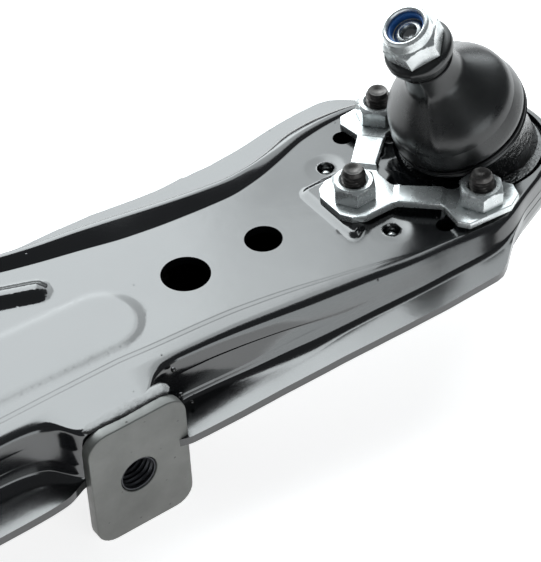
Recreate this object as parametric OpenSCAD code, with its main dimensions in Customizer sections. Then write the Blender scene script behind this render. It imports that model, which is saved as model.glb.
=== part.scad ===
// Lower suspension control arm: two pressed shells with a bolted ball joint, a horizontal
// front bush, a vertical rear bush and a tapped link bracket.
// Origin: centre of the front bush bore. +X runs to the ball joint, +Y along the front
// bush's axis towards the rear leg, +Z up.

/* [Arm] */
// Distance from the front bush to the ball centre, along X
arm_reach = 340; // [336:1:346]
// Rear bush axis, along X from the front bush
rear_bush_x = 35; // [30:1:40]
// Rear bush axis, along Y from the front bush
rear_bush_y = 245; // [240:1:252]
// Height of the flat top over the flange plane
top_height = 18; // [17:0.5:19]
// Depth of the lower shell under the flange plane
belly_depth = 20; // [16:0.5:22]
// Sheet thickness of both shells
sheet = 3; // [2.5:0.1:3.2]
// Width of the welded flange around the arm
flange_width = 13; // [10:0.5:14]

/* [Ball joint] */
// Lean of the ball joint's axis towards the front bush
stud_lean = 25.5; // [20:0.5:28]
// Height of the ball centre over the flange plane
ball_height = 22; // [21.5:0.25:23]
// Radius of the ball
ball_r = 12.5; // [12.2:0.1:12.6]
// Running clearance between the ball and its seat
ball_play = 0.05; // [0.02:0.01:0.08]
// Width across the flats of the stud nut
stud_nut_flats = 17; // [16:0.5:18]
// Thread radius of the stud
stud_thread_r = 5; // [4.5:0.5:5]
// Largest radius of the boot
boot_r = 22; // [21.6:0.1:22.2]

/* [Lock plate] */
// Half the distance between the two outer bolts
bolt_half_span = 26.65; // [26:0.05:27.5]
// Outer bolts, back from the ball centre along X
outer_bolt_back = 17.3; // [17:0.1:18.5]
// Inner bolt, back from the ball centre along X
inner_bolt_back = 47.3; // [46:0.1:48]
// Thread radius of the three bolts
bolt_r = 4; // [3.9:0.05:4.1]
// Thickness of the lock plate
lock_plate_t = 2.6; // [2.4:0.1:3]
// Height of the raised pads under the lock plate
pad_h = 1; // [0.6:0.1:1.2]
// Width across the flats of the three nuts
bolt_nut_flats = 13; // [12:0.5:13.5]

/* [Link bracket] */
// Centre of the bracket plate along X
bracket_x = 185.6; // [183:0.1:188]
// Width of the bracket plate
bracket_w = 34.2; // [32:0.2:36]
// Height of the bracket plate
bracket_h = 44.3; // [42:0.1:46]
// Thickness of the bracket plate
bracket_t = 4; // [3:0.5:4]
// Radius of the hole in the bracket plate
bracket_hole_r = 6.2; // [6:0.1:6.5]
// Radius of the tapped hole in the weld nut
link_thread_r = 5.1; // [5:0.05:5.3]

/* [Bushes] */
// Bore radius of the front bush
front_bore_r = 6.1; // [5:0.1:7]
// Length of the front bush's inner sleeve
front_sleeve_l = 50; // [48:1:60]
// Bore radius of the rear bush
rear_bore_r = 7.1; // [6:0.1:8]
// Length of the rear bush's inner sleeve
rear_sleeve_l = 52; // [48:1:60]
// Running clearance round both inner sleeves
sleeve_play = 0.05; // [0.02:0.01:0.08]

/* [Hidden] */
$fn = 64;

ball = [arm_reach, 0, ball_height];
bolts = [
    [arm_reach - inner_bolt_back, 0],
    [arm_reach - outer_bolt_back, bolt_half_span],
    [arm_reach - outer_bolt_back, -bolt_half_span],
];
bracket_front_y = -37;
bracket_back_y = bracket_front_y + bracket_t;
bracket_top_z = top_height - 1;
link_z = -5.5;
front_eye_r = 22;
front_eye_l = 42;
front_sleeve_r = 10;
front_rubber_r = 17;
front_outer_r = 19;
rear_eye_r = 36;
rear_eye_l = 38;
rear_sleeve_r = 12;
rear_rubber_r = 29;
rear_outer_r = 31.5;
nose_r = 28;
opening_r = 25;
head_floor_z = 2.5;
housing_neck_r = 19.7;
nut_base = 51.2;
nut_hex_h = 7;
nut_h = 11;
lock_top_z = top_height + pad_h + lock_plate_t;
ear_r = 7.6;
ear_z = head_floor_z + sheet;
pad_r = [12.5, 9, 9];

// Clearance holes of the top sheet: x, y and radius
top_holes = [
    [231.7, 5.3, 7.9], [260, 3.7, 6.1], [309, 28, 3.2],
    [295.8, 19.3, 3], [294.2, -17.5, 3], [308.6, -26.4, 3],
];
leg_holes = [[62, 120, 16], [48, 175, 9], [75, 15, 11]];

// Points of an arc round c, from angle a to angle b
function arc(c, r, a, b, n = 8) =
    [for (i = [0:n]) let (t = a + (b - a) * i / n) c + r * [cos(t), sin(t)]];

// Unit direction of a vector
function unit(v) = v / norm(v);

// The outline moved outwards by d (inwards where d is negative), with mitred corners
function grown(p, d) = [
    for (i = [0:len(p) - 1])
        let (n = len(p))
        let (u = unit(p[i] - p[(i + n - 1) % n]))
        let (v = unit(p[(i + 1) % n] - p[i]))
        let (m = unit([u.y + v.y, -u.x - v.x]))
        p[i] + m * d / max(0.5, m * [v.y, -v.x])
];

// Outline of the arm's box, counter-clockwise from the front bush along the near side,
// round the nose, back along the far side and up the rear leg
box_outline = concat(
    [[14, -24], [246, -25], [275, -32], [291, -38.5], [297, -41], [320, -41], [331, -36.5]],
    arc([arm_reach, 0], nose_r, -62, 62, 16),
    [[331, 37], [319, 40.5], [295, 38.5], [269, 36.5], [242, 40], [215, 46], [188, 54]],
    [[160, 65], [135, 81], [114, 102], [97, 129], [85, 160], [76, 192], [70, 224]],
    [[4, 224], [6, 190], [10, 140], [14, 80], [14, 24]]
);
// Outer edge of the flange, which stops short of the nose
flange_outline = concat(
    [[14, -27], [32, -24 - flange_width], [196, -38], [250, -41], [316, -47.5], [331, -36.5]],
    arc([arm_reach, 0], nose_r, -62, 62, 16),
    [[326, 46], [316, 55.5], [283, 55.5], [252, 57.5], [227, 63.5], [200, 67]],
    [[172, 78], [147, 93], [127, 112], [111, 136], [98, 165], [88, 196], [78, 216], [70, 224]],
    [[2, 222], [-5, 190], [0, 140], [3, 80], [6, 42], [14, 27]]
);
// Side view of the flange's top face
flange_line = [[-60, 0], [200, 0], [330, 12.4], [420, 12.4]];
// Side view of the lower shell's under face
belly_line = [[-60, -belly_depth], [205, -belly_depth], [255, -5], [278, head_floor_z],
    [420, head_floor_z]];

// A frame whose Z axis is the ball joint's axis
module at_ball() {
    translate(ball) rotate([0, -stud_lean, 0]) children();
}

// A cylinder along +Y
module y_cylinder(r, h) {
    rotate([-90, 0, 0]) cylinder(r = r, h = h);
}

// An upright tube
module tube(r_out, r_in, h) {
    difference() {
        cylinder(r = r_out, h = h, center = true);
        cylinder(r = r_in, h = h + 1, center = true);
    }
}

// The space between two side-view lines, right across the arm
module side_band(upper, lower) {
    back = [for (i = [len(lower) - 1:-1:0]) lower[i]];
    translate([0, 320, 0]) rotate([90, 0, 0]) linear_extrude(400)
        polygon(concat(upper, back));
}

// A side-view line moved up by dz
function raised(line, dz) = [for (p = line) [p.x, p.y + dz]];

// An outline extruded over the whole height
module plan_prism(outline) {
    translate([0, 0, -60]) linear_extrude(140) polygon(outline);
}

// The box outline with the bridge that carries the link bracket
module box_prism(inset) {
    plan_prism(grown(box_outline, -inset));
    bridge_w = bracket_w - 8 - 2 * inset;
    translate([bracket_x - 2 - bridge_w / 2, bracket_back_y + inset, -60])
        cube([bridge_w, 20, 140]);
}

// Everything that is cut from both shells: the two eyes, the bracket and its nut
module shell_cuts() {
    translate([0, -60, 0]) y_cylinder(front_eye_r, 120);
    translate([-40, -60, -40]) cube([40, 120, 80]);
    translate([rear_bush_x, rear_bush_y, -60]) cylinder(r = rear_eye_r, h = 120);
    translate([bracket_x - 19, -80, -60]) cube([38, 80 + bracket_back_y, 120]);
    translate([bracket_x - 0.9, bracket_back_y - 1, link_z]) y_cylinder(11, 14);
    for (b = bolts) translate([b.x, b.y, -40]) cylinder(r = bolt_r + 0.25, h = 80);
    for (h = leg_holes) translate([h.x, h.y, -60]) cylinder(r = h.z, h = 120);
}

module upper_shell() {
    color("#0d0e10") difference() {
        union() {
            intersection() {
                difference() {
                    box_prism(0);
                    translate([0, 0, top_height - sheet - 200]) linear_extrude(200)
                        polygon(grown(box_outline, -sheet));
                    bridge_w = bracket_w - 8 - 2 * sheet;
                    translate([bracket_x - 2 - bridge_w / 2, bracket_back_y + sheet, -60])
                        cube([bridge_w, 20, 60 + top_height - sheet]);
                }
                side_band(raised([for (p = flange_line) [p.x, 0]], top_height),
                    raised(flange_line, -sheet));
            }
            intersection() {
                difference() {
                    plan_prism(flange_outline);
                    box_prism(1);
                }
                side_band(flange_line, raised(flange_line, -sheet));
            }
            for (i = [0:2]) translate([bolts[i].x, bolts[i].y, top_height - 1])
                cylinder(r = pad_r[i], h = 1 + pad_h);
        }
        for (h = top_holes) translate([h.x, h.y, 0]) cylinder(r = h.z, h = 40);
        translate([arm_reach, 0, -20]) cylinder(r = opening_r, h = 60);
        shell_cuts();
    }
}

module lower_shell() {
    seam = raised(flange_line, -sheet);
    color("#0d0e10") difference() {
        union() {
            intersection() {
                difference() {
                    box_prism(sheet);
                    intersection() {
                        box_prism(2 * sheet);
                        side_band(raised(flange_line, 40), raised(belly_line, sheet));
                    }
                }
                side_band(seam, belly_line);
            }
            intersection() {
                difference() {
                    plan_prism(flange_outline);
                    box_prism(sheet + 1);
                }
                side_band(seam, raised(seam, -sheet));
            }
        }
        translate([arm_reach + 4, 0, -40]) cylinder(r = opening_r, h = 80);
        translate([arm_reach + 4, -opening_r, -40]) cube([60, 2 * opening_r, 80]);
        translate([arm_reach, 0, ear_z]) cylinder(r = opening_r, h = 40);
        for (b = bolts) translate([b.x, b.y, ear_z]) cylinder(r = ear_r + 0.3, h = 40);
        shell_cuts();
    }
}

module link_bracket() {
    corner = 6.5;
    half = bracket_w / 2 - corner;
    color("#3a3b3a") difference() {
        translate([bracket_x, bracket_front_y, bracket_top_z - bracket_h / 2]) {
            translate([-bracket_w / 2, 0, corner - bracket_h / 2])
                cube([bracket_w, bracket_t, bracket_h - 2 * corner]);
            translate([-half, 0, -bracket_h / 2]) cube([2 * half, bracket_t, bracket_h]);
            for (sx = [-1, 1], sz = [-1, 1])
                translate([sx * half, 0, sz * (bracket_h / 2 - corner)])
                    y_cylinder(corner, bracket_t);
        }
        translate([bracket_x - 0.9, bracket_front_y - 1, link_z])
            y_cylinder(bracket_hole_r, bracket_t + 2);
    }
}

module bracket_nut() {
    color("#55575a") translate([bracket_x - 0.9, bracket_back_y, link_z])
        difference() {
            rotate([-90, 0, 0]) cylinder(r = 10.4, h = 11, $fn = 6);
            translate([0, -1, 0]) y_cylinder(link_thread_r, 13);
        }
}

module bracket_weld() {
    color("#1c1d1e") difference() {
        translate([bracket_x - 14, bracket_back_y, top_height]) rotate([0, 90, 0])
            cylinder(r = 2.2, h = 26);
        translate([bracket_x - 40, bracket_back_y, 0]) cube([80, 20, top_height]);
        translate([bracket_x - 40, bracket_front_y, -40])
            cube([80, bracket_t, 40 + bracket_top_z]);
    }
}

module front_eye_tube() {
    color("#0d0e10") rotate([90, 0, 0]) tube(front_eye_r, front_outer_r, front_eye_l);
}

module front_eye_welds() {
    seat = front_eye_r - 2.5;
    color("#16171a") difference() {
        for (s = [-1, 1])
            translate([sqrt(pow(front_eye_r, 2) - pow(top_height, 2)) + 1, -19, s * top_height])
                y_cylinder(2.6, 38);
        translate([0, -40, 0]) y_cylinder(front_eye_r, 80);
        translate([0, -40, -belly_depth]) cube([seat + 20, 80, belly_depth + top_height]);
    }
}

module front_bush_outer_sleeve() {
    color("#3c3e40") rotate([90, 0, 0]) tube(front_outer_r, front_rubber_r, front_eye_l + 2);
}

module front_bush_rubber() {
    color("#161616") rotate([90, 0, 0])
        tube(front_rubber_r, front_sleeve_r + sleeve_play, front_eye_l);
}

module front_bush_inner_sleeve() {
    color("#8f9296") rotate([90, 0, 0]) tube(front_sleeve_r, front_bore_r, front_sleeve_l);
}

module at_rear_bush() {
    translate([rear_bush_x, rear_bush_y, 0]) children();
}

module rear_eye_collar() {
    color("#0d0e10") at_rear_bush() tube(rear_eye_r, rear_outer_r, rear_eye_l);
}

module rear_eye_welds() {
    color("#16171a") difference() {
        at_rear_bush() for (s = [-1, 1]) translate([0, 0, s * (top_height + 0.2)])
            rotate_extrude(angle = 360) translate([rear_eye_r, 0]) circle(r = 2.2, $fn = 24);
        at_rear_bush() cylinder(r = rear_eye_r, h = 80, center = true);
        translate([-60, 100, -belly_depth]) cube([200, 200, belly_depth + top_height]);
        translate([-60, 224, -60]) cube([200, 200, 120]);
        translate([-60, 100, -60]) cube([66, 200, 120]);
        translate([66, 100, -60]) cube([80, 200, 120]);
    }
}

module rear_bush_outer_sleeve() {
    color("#3c3e40") at_rear_bush() tube(rear_outer_r, rear_rubber_r, rear_eye_l + 2);
}

// The rubber has a kidney-shaped slot on each side of the sleeve, across the arm
module rear_bush_rubber() {
    color("#161616") at_rear_bush() difference() {
        tube(rear_rubber_r, rear_sleeve_r + sleeve_play, rear_eye_l);
        for (a = [0, 180]) rotate([0, 0, a]) {
            rotate([0, 0, -35]) translate([0, 0, -30])
                rotate_extrude(angle = 70) translate([19, 0]) square([5, 60]);
            for (e = [-35, 35]) rotate([0, 0, e]) translate([21.5, 0, -30])
                cylinder(r = 2.5, h = 60);
        }
    }
}

module rear_bush_inner_sleeve() {
    color("#8f9296") at_rear_bush() tube(rear_sleeve_r, rear_bore_r, rear_sleeve_l);
}

// A straight arm of the lock plate between two bolts
module plate_arm(from, to, w) {
    along = unit(to - from);
    side = [-along.y, along.x] * w / 2;
    polygon([from - side, to - side, to + side, from + side]);
}

module lock_plate() {
    color("#e6e8ea") difference() {
        translate([0, 0, top_height + pad_h]) {
            for (b = bolts) translate([b.x, b.y, 0]) rotate([0, 0, 22.5])
                cylinder(r = 9.6, h = lock_plate_t, $fn = 8);
            for (i = [1, 2]) linear_extrude(lock_plate_t) plate_arm(bolts[0], bolts[i], 11);
        }
        for (b = bolts) translate([b.x, b.y, 0]) cylinder(r = bolt_r + 0.25, h = 60);
        translate([arm_reach, 0, 0]) cylinder(r = opening_r + 0.4, h = 60);
    }
}

module lock_nuts() {
    color("#dfe2e4") for (b = bolts) translate([b.x, b.y, lock_top_z]) difference() {
        cylinder(r = bolt_nut_flats / sqrt(3), h = 5.5, $fn = 6);
        translate([0, 0, -1]) cylinder(r = bolt_r, h = 10);
    }
}

module lock_bolts() {
    head_h = 5;
    color("#4a4644") for (b = bolts) translate([b.x, b.y, head_floor_z]) {
        translate([0, 0, -head_h]) cylinder(r = 13 / sqrt(3), h = head_h, $fn = 6);
        cylinder(r = bolt_r, h = 32 - head_floor_z);
    }
}

module joint_housing() {
    color("#1b1b1c") difference() {
        union() {
            at_ball() translate([0, 0, -18.5]) cylinder(r = 19, h = 23.5);
            at_ball() cylinder(r = housing_neck_r, h = 12);
            translate([arm_reach, 0, ear_z]) cylinder(r = opening_r - 0.6, h = 15);
            translate([0, 0, ear_z]) {
                for (b = bolts) translate([b.x, b.y, 0])
                    cylinder(r = ear_r, h = top_height - sheet - ear_z);
                linear_extrude(top_height - sheet - ear_z) polygon([
                    bolts[0] + [0, -ear_r], bolts[2] + [0, -ear_r], [arm_reach, -20],
                    [arm_reach, 20], bolts[1] + [0, ear_r], bolts[0] + [0, ear_r],
                ]);
            }
        }
        at_ball() translate([0, 0, -16.9]) cylinder(r = 15.5, h = 23.2);
        at_ball() translate([0, 0, -40]) cylinder(r = 13.5, h = 24);
        at_ball() translate([0, 0, 6.2]) cylinder(r1 = 11.2, r2 = 17.5, h = 6);
        for (b = bolts) translate([b.x, b.y, -10]) cylinder(r = bolt_r + 0.05, h = 60);
        at_ball() translate([0, 0, 12]) cylinder(r = 40, h = 40);
        boot_room();
    }
}

// The room round the housing's neck for the foot of the boot
module boot_room() {
    at_ball() difference() {
        translate([0, 0, 6.5]) cylinder(r = 40, h = 20);
        cylinder(r = housing_neck_r, h = 60);
    }
}

module ball_seat() {
    color("#d8d4c6") at_ball() difference() {
        translate([0, 0, -13.8]) cylinder(r = 15.5, h = 20);
        sphere(r = ball_r + ball_play);
        translate([0, 0, 6]) cylinder(r1 = 10.9, r2 = 13, h = 2);
    }
}

module housing_cap() {
    color("#2b2c2e") at_ball() translate([0, 0, -16.8]) cylinder(r = 15.5, h = 3);
}

module ball_stud() {
    color("#8f9296") at_ball() union() {
        sphere(r = ball_r);
        translate([0, 0, 8]) cylinder(r = 5.8, h = 9);
        translate([0, 0, 17]) cylinder(r1 = 7.2, r2 = 6.2, h = 29);
        translate([0, 0, 46]) cylinder(r = stud_thread_r, h = 13);
    }
}

module stud_nut() {
    color("#e6e8ea") at_ball() translate([0, 0, nut_base]) difference() {
        union() {
            cylinder(r = stud_nut_flats / sqrt(3), h = nut_hex_h, $fn = 6);
            cylinder(r = 7.6, h = nut_h);
        }
        translate([0, 0, -1]) cylinder(r = stud_thread_r, h = nut_h + 2);
        translate([0, 0, nut_hex_h + 0.6]) cylinder(r = 6.4, h = 2.6);
    }
}

module nut_insert() {
    color("#1f4fa8") at_ball() translate([0, 0, nut_base + nut_hex_h + 0.6]) difference() {
        cylinder(r = 6.4, h = 2.6);
        translate([0, 0, -1]) cylinder(r = stud_thread_r, h = 5);
    }
}

// Outer side of the boot, from its foot to its lip: radius and height over the ball
boot_outer = [
    [boot_r, 9], [boot_r, 10.2], [boot_r - 0.9, 10.6], [boot_r - 0.9, 12.2],
    [boot_r, 12.8], [boot_r - 0.1, 16], [boot_r - 0.8, 20], [20, 25], [18, 29.5],
    [15, 33.5], [11.8, 36.8], [9.6, 39.5], [8.6, 41.6], [8.3, 43.6], [9.6, 45],
    [10.5, 46], [10.5, 50.9],
];
boot_inner = [
    [7, 50.9], [7, 41], [7.7, 38.5], [9.9, 35.3], [13.1, 32], [16, 28.2], [18, 24],
    [19.3, 19.5], [20, 15.6], [20, 9],
];

module boot() {
    color("#1e1e1f") at_ball() rotate_extrude() polygon(concat(boot_outer, boot_inner));
}

// A round wire ring about the ball joint's axis
module wire_ring(r, wire_r, height) {
    at_ball() translate([0, 0, height]) rotate_extrude() translate([r, 0])
        circle(r = wire_r, $fn = 24);
}

module boot_lower_clip() {
    color("#2c2d2f") wire_ring(boot_r - 0.15, 0.6, 11.4);
}

module boot_neck_clip() {
    color("#2c2d2f") wire_ring(9.2, 0.7, 43.2);
}

upper_shell();
lower_shell();
link_bracket();
bracket_nut();
bracket_weld();
front_eye_tube();
front_eye_welds();
front_bush_outer_sleeve();
front_bush_rubber();
front_bush_inner_sleeve();
rear_eye_collar();
rear_eye_welds();
rear_bush_outer_sleeve();
rear_bush_rubber();
rear_bush_inner_sleeve();
lock_plate();
lock_nuts();
lock_bolts();
joint_housing();
ball_seat();
housing_cap();
ball_stud();
stud_nut();
nut_insert();
boot();
boot_lower_clip();
boot_neck_clip();
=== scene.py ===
"""Visual model of a pressed-steel lower control arm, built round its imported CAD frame."""

from __future__ import annotations

import logging
import math
import random
from dataclasses import dataclass, field
from enum import Enum

import bmesh
import bpy
from bmesh.types import BMEdge, BMesh, BMFace, BMVert
from bpy.types import Material, Node, NodeSocket, NodeTree, Object
from mathutils import Matrix, Vector, kdtree, noise


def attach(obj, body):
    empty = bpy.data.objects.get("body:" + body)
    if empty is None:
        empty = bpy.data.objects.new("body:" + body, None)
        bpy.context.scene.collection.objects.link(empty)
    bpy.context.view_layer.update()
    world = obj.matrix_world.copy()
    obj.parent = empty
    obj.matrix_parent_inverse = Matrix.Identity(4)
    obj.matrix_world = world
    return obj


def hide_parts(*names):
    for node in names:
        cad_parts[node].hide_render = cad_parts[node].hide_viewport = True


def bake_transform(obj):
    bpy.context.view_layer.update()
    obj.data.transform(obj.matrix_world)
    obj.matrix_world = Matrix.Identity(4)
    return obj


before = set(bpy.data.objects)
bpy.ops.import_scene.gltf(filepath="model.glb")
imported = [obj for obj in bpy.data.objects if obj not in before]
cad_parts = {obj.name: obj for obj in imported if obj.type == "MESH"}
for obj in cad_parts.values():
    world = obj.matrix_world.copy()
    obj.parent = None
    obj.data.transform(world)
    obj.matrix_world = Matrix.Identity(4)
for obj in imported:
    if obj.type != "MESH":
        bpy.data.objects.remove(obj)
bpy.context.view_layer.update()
LOG = logging.getLogger("control_arm")
MM = 0.001

BALL = Vector((340.0, 0.0, 22.0))
STUD_LEAN = math.radians(-25.5)
AT_BALL = Matrix.Translation(BALL) @ Matrix.Rotation(STUD_LEAN, 4, "Y")
BOLTS = ((292.7, 0.0), (322.7, 26.65), (322.7, -26.65))
TOP = 18.0
SHEET = 3.0
PAD = 1.0
RIM_FADE = 3.0
TURN = 2 * math.pi
CLOUD_LOW, CLOUD_HIGH = 0.32, 0.68
FLECK_EDGE = 2.4
FLECK_HEIGHT_MM = 0.12
ALONG_Y = Matrix.Rotation(-math.pi / 2, 4, "X")
# Bright zinc balls at the bottom of the two dimple holes: painted light that stands in for the pale floor
# seen through the holes.
THROUGH_HOLE_LIGHT_SPOTS = ((295.6, 19.0, 15.1, 1.6), (294.0, -17.8, 15.1, 1.6))
SPATTER = (
    (206.5, -25.0, 15.6, 0.9), (204.6, -31.4, 11.4, 0.8), (209.4, -29.2, 3.4, 0.7),
    (199.5, -36.0, 8.0, 1.1), (167.5, -26.0, 15.7, 0.7),
)


def flange_height(x: float) -> float:
    """Height of the flange's upper face at x, in millimetres."""
    return min(max(0.0, (x - 200.0) * 12.4 / 130.0), 12.4)


def flange_droop(x: float, y: float) -> float:
    """How far the near flange's outer part hangs below its root, near the head."""
    share = min(1.0, max(0.0, (x - 235.0) / 40.0)) * min(1.0, max(0.0, (334.0 - x) / 16.0))
    return 0.08 * share * max(0.0, -y - 39.0)


def belly_height(x: float) -> float:
    """Height of the lower shell's under face at x, in millimetres."""
    knots = ((-60, -20), (205, -20), (255, -5), (278, 2.5), (420, 2.5))
    for (x0, z0), (x1, z1) in zip(knots, knots[1:]):
        if x <= x1:
            return z0 + (z1 - z0) * max(0.0, x - x0) / (x1 - x0)
    return knots[-1][1]


# ---------------------------------------------------------------- finishes


def linear(colour: str) -> tuple[float, float, float, float]:
    """Turns an sRGB hex colour into linear light.

    Args:
        colour: Six hex digits.

    Returns:
        Linear red, green, blue and an alpha of 1.
    """
    parts = [int(colour[i : i + 2], 16) / 255 for i in (0, 2, 4)]
    return (*(p / 12.92 if p <= 0.04045 else ((p + 0.055) / 1.055) ** 2.4 for p in parts), 1.0)


def add_node(tree: NodeTree, kind: str, settings: dict | None = None, **links) -> Node:
    """Adds a node with its settings, socket values and links.

    Args:
        tree: The tree that gets the node.
        kind: Blender's name for the node's type.
        settings: Properties of the node itself.
        **links: Socket name (underscores for spaces) to a value or an output socket.

    Returns:
        The new node.
    """
    node = tree.nodes.new(kind)
    for key, value in (settings or {}).items():
        setattr(node, key, value)
    for key, value in links.items():
        socket = node.inputs[int(key[1:])] if key[0] == "_" else node.inputs[key.replace("_", " ")]
        if isinstance(value, NodeSocket):
            tree.links.new(value, socket)
        else:
            socket.default_value = value
    return node


def texture(tree: NodeTree, kind: str, where: NodeSocket, size_mm: float, **values: float) -> Node:
    """Adds a procedural texture whose cells have a size in millimetres."""
    return add_node(tree, kind, Vector=where, Scale=1 / (size_mm * MM), **values)


def remap(tree: NodeTree, value: NodeSocket, *ends: float) -> NodeSocket:
    """Maps a value's range on to another: from low, from high, to low, to high."""
    sockets = {f"_{i}": end for i, end in enumerate(ends, 1)}
    return add_node(tree, "ShaderNodeMapRange", Value=value, **sockets).outputs["Result"]


def mix(tree: NodeTree, share: NodeSocket, first, second) -> NodeSocket:
    """Mixes two colours, each a value or a socket, by a share."""
    return add_node(tree, "ShaderNodeMix", {"data_type": "RGBA"}, _0=share, _6=first, _7=second).outputs[2]


@dataclass(frozen=True)
class Finish:
    """One surface finish: what the skin is made of and how it was worked.

    Sizes are in millimetres. The grain is the fine texture of the surface and the clouds are
    its slow changes of colour and gloss.
    """

    name: str
    colour: str
    tint: str
    metallic: float
    roughness: tuple[float, float]
    grain_mm: float
    grain_depth_mm: float
    cloud_mm: float = 30.0
    ior: float = 1.5
    fleck_mm: float = 0.0
    fleck_colour: str = "8a8a86"
    fleck_share: float = 0.04
    cache: dict = field(default_factory=dict, compare=False, repr=False)

    def build(self) -> Material:
        """Makes the material once and returns it each time."""
        if "material" not in self.cache:
            self.cache["material"] = self._make()
        return self.cache["material"]

    def _make(self) -> Material:
        """Makes the node tree: clouds for colour and gloss, grain for bump, flecks for dirt.

        Returns:
            The new material.
        """
        material = bpy.data.materials.new(self.name)
        material.use_nodes = True
        tree = material.node_tree
        tree.nodes.clear()
        where = add_node(tree, "ShaderNodeTexCoord").outputs["Object"]
        cloud = texture(tree, "ShaderNodeTexNoise", where, self.cloud_mm, Detail=4.0, Roughness=0.6)
        grain = texture(tree, "ShaderNodeTexNoise", where, self.grain_mm, Detail=3.0, Roughness=0.55)
        share = remap(tree, cloud.outputs["Fac"], CLOUD_LOW, CLOUD_HIGH, 0.0, 1.0)
        paint = mix(tree, share, linear(self.colour), linear(self.tint))
        gloss = remap(tree, share, 0.0, 1.0, *self.roughness)
        depth = self.grain_depth_mm * MM
        bump = add_node(tree, "ShaderNodeBump", Height=grain.outputs["Fac"], Distance=depth, Strength=1.0)
        if self.fleck_mm:
            fleck = texture(tree, "ShaderNodeTexVoronoi", where, self.fleck_mm, Randomness=1.0)
            reach = (self.fleck_share, self.fleck_share * FLECK_EDGE)
            core = remap(tree, fleck.outputs["Distance"], *reach, 1.0, 0.0)
            paint = mix(tree, core, paint, linear(self.fleck_colour))
            bump = add_node(
                tree, "ShaderNodeBump", Height=core, Distance=FLECK_HEIGHT_MM * MM, Strength=1.0,
                Normal=bump.outputs["Normal"],
            )
        shader = add_node(
            tree, "ShaderNodeBsdfPrincipled", Base_Color=paint, Metallic=self.metallic, Roughness=gloss,
            Normal=bump.outputs["Normal"],
        )
        if self.metallic < 0.5:
            shader.inputs["IOR"].default_value = self.ior
        add_node(tree, "ShaderNodeOutputMaterial", Surface=shader.outputs["BSDF"])
        return material


# Electrocoat paint on sheet steel, dipped and baked: a deep gloss black with a slight orange
# peel and dust nibs, which break up its mirror reflections.
ELECTROCOAT = Finish(
    "gloss_black_electrocoat", "0b0c0e", "101214", 0.0, (0.1, 0.2), 5.0, 0.02, 45.0, 1.9,
    fleck_mm=8.0, fleck_share=0.022, fleck_colour="3a3c3e",
)
# The same dip over a sheared, handled plate: satin grey where the coat is thin.
BRACKET_COAT = Finish(
    "satin_grey_coated_plate", "6b6c69", "5e5f5c", 0.3, (0.36, 0.5), 1.2, 0.02, 14.0, 1.7,
    fleck_mm=4.2, fleck_share=0.045, fleck_colour="454643",
)
# Coated weld metal: rippled and glossy, with brown slag islands.
WELD_COAT = Finish("coated_weld_metal", "141517", "232220", 0.1, (0.12, 0.3), 1.6, 0.1, 3.0, 1.9)
# Bright zinc plate on pressed steel: almost white, soft mirror with faint clouding.
ZINC = Finish("bright_zinc_plate", "e4e7e7", "c6cbcb", 0.72, (0.18, 0.36), 1.6, 0.012, 5.0)
# Manganese phosphate on rolled screws: matt brown black, oil-dark in the thread's roots.
PHOSPHATE = Finish("dark_phosphate_steel", "5c5957", "3b3938", 0.7, (0.3, 0.5), 0.5, 0.02, 2.5)
# Bushing outer steel, phosphated tube: dull dark grey.
TUBE_STEEL = Finish("phosphated_tube_steel", "55565a", "414246", 0.7, (0.4, 0.58), 0.8, 0.02, 9.0)
# Turned free-cutting steel: fine feed marks round the axis, bright grey.
TURNED_STEEL = Finish("turned_steel", "b9bbbb", "9ea1a2", 1.0, (0.2, 0.34), 0.6, 0.015, 8.0)
# Natural rubber, compression moulded: near black, satin, slightly bloomed.
BUSH_RUBBER = Finish("moulded_natural_rubber", "1b1b1b", "262625", 0.0, (0.5, 0.7), 1.5, 0.05, 12.0)
# Neoprene boot, injection moulded: charcoal satin that shows soft window highlights.
BOOT_RUBBER = Finish("satin_neoprene", "161718", "1f2020", 0.0, (0.24, 0.36), 3.0, 0.03, 16.0, 1.6)
# Sand-cast iron under the same black dip: glossy pebbled skin.
CASTING = Finish("coated_sand_casting", "0f1011", "18191a", 0.0, (0.16, 0.34), 1.6, 0.55, 7.0, 1.8)
# Acetal liner, moulded: milky and smooth.
ACETAL = Finish("moulded_acetal", "d9d3c2", "cfc8b4", 0.0, (0.3, 0.42), 2.0, 0.01, 20.0, 1.48)
# Nylon locking ring, moulded: saturated blue.
NYLON = Finish("blue_nylon_ring", "2f6fb8", "2a62a6", 0.0, (0.35, 0.48), 1.0, 0.02, 4.0, 1.53)
# Spring wire with a black coat.
WIRE = Finish("black_spring_wire", "1a1a1b", "262627", 0.5, (0.3, 0.42), 0.6, 0.01, 4.0)


# ---------------------------------------------------------------- mesh helpers


def settle(name: str, bm: BMesh, finish: Finish, place: Matrix | None = None, smooth: float = 40.0) -> Object:
    """Turns a bmesh in millimetres into an object in metres with its finish.

    Args:
        name: The object's name.
        bm: The shape, which is freed.
        finish: The surface finish.
        place: Where the shape goes, in millimetres.
        smooth: Angle in degrees above which an edge shades sharp.

    Returns:
        The new object, at the origin.
    """
    scale = Matrix.Diagonal((MM, MM, MM, 1.0))
    bmesh.ops.transform(bm, matrix=scale @ (place or Matrix.Identity(4)), verts=bm.verts)
    limit = math.radians(smooth)
    for face in bm.faces:
        face.smooth = True
    for edge in bm.edges:
        edge.smooth = len(edge.link_faces) == 2 and edge.calc_face_angle(0.0) < limit
    mesh = bpy.data.meshes.new(name)
    bm.to_mesh(mesh)
    bm.free()
    mesh.materials.append(finish.build())
    item = bpy.data.objects.new(name, mesh)
    bpy.context.scene.collection.objects.link(item)
    return item


def polyline(bm: BMesh, points: list, closed: bool) -> list[BMEdge]:
    """Adds a chain of edges through points and returns its edges."""
    verts = [bm.verts.new(p) for p in points]
    pairs = list(zip(verts, verts[1:])) + ([(verts[-1], verts[0])] if closed else [])
    return [bm.edges.new(pair) for pair in pairs]


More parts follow.
